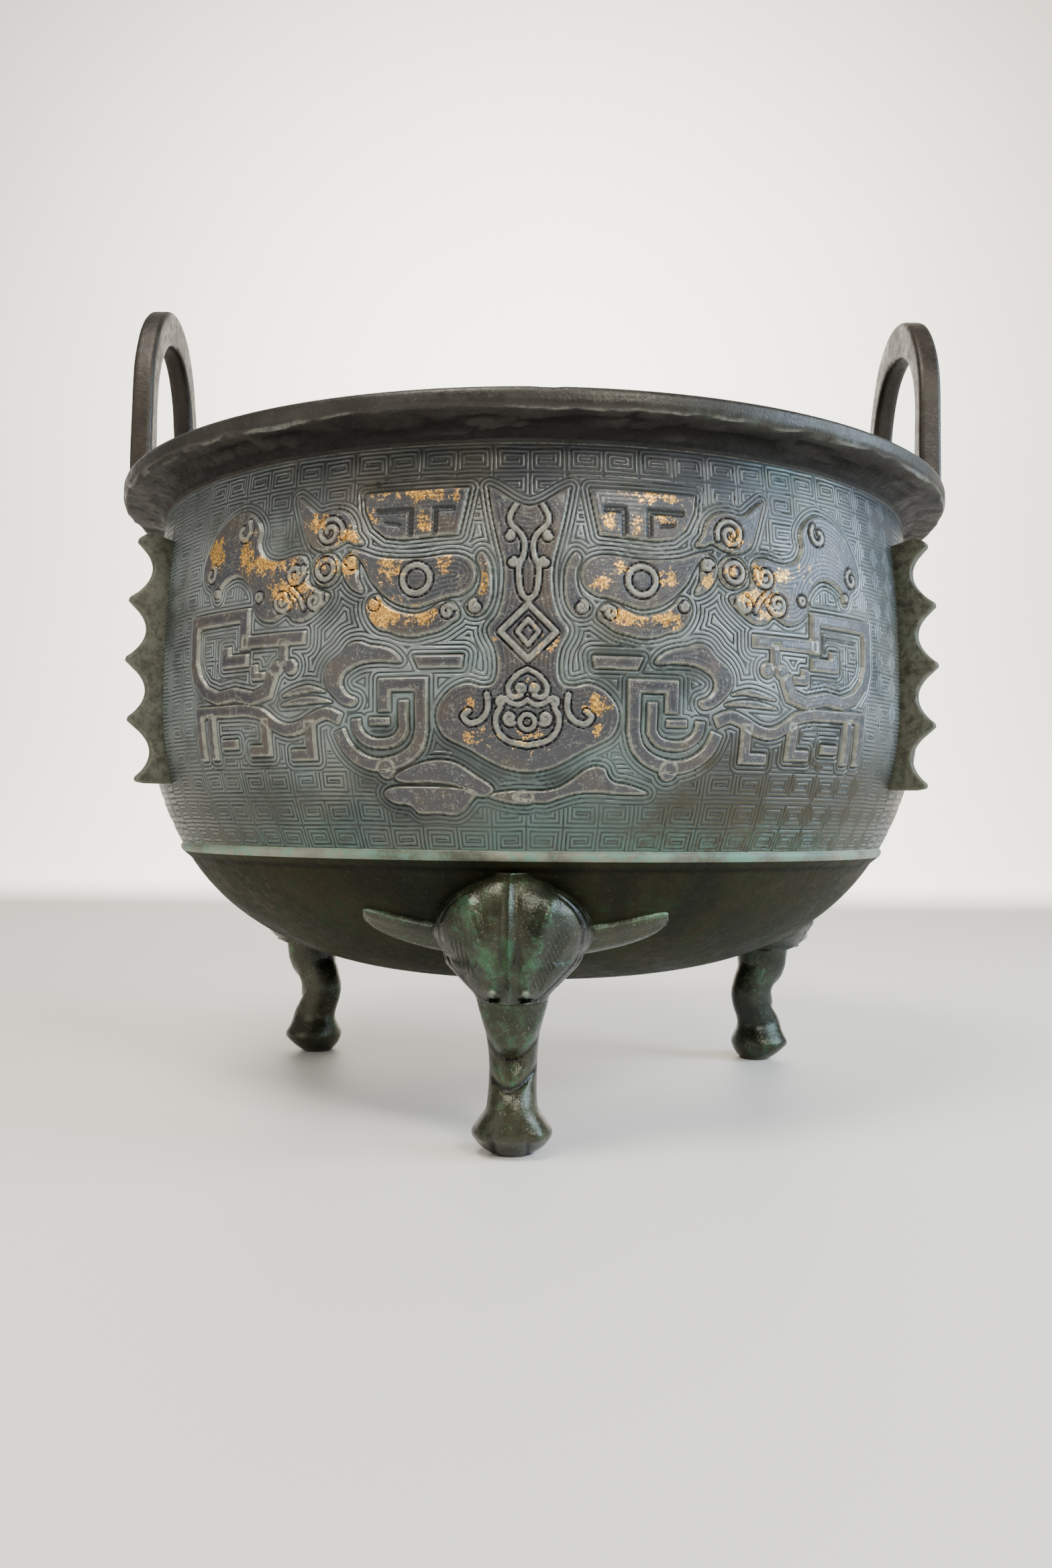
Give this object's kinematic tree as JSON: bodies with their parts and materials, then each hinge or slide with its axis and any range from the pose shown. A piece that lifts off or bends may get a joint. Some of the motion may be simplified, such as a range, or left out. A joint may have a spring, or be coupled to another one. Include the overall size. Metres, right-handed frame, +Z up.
{
  "type": "tripod censer",
  "caption": "Hollow round bronze censer on beast-headed cabriole legs, with a flat rim, upright loop handles, hooked flanges and low relief masks.",
  "frame": {"origin": "on the bowl's axis, on the surface that the three feet stand on", "axes": "+Z up along the bowl's axis; the front mask and one leg face -Y; the two handles stand at +X and -X"},
  "size_m": [0.28, 0.2812, 0.2725],
  "materials": {
    "patinated_bronze": "dark brown cast bronze with blue-grey and green patina and rubbed gold patches"
  },
  "bodies": {
    "root": {"censer": "patinated_bronze"}
  },
  "joints": []
}
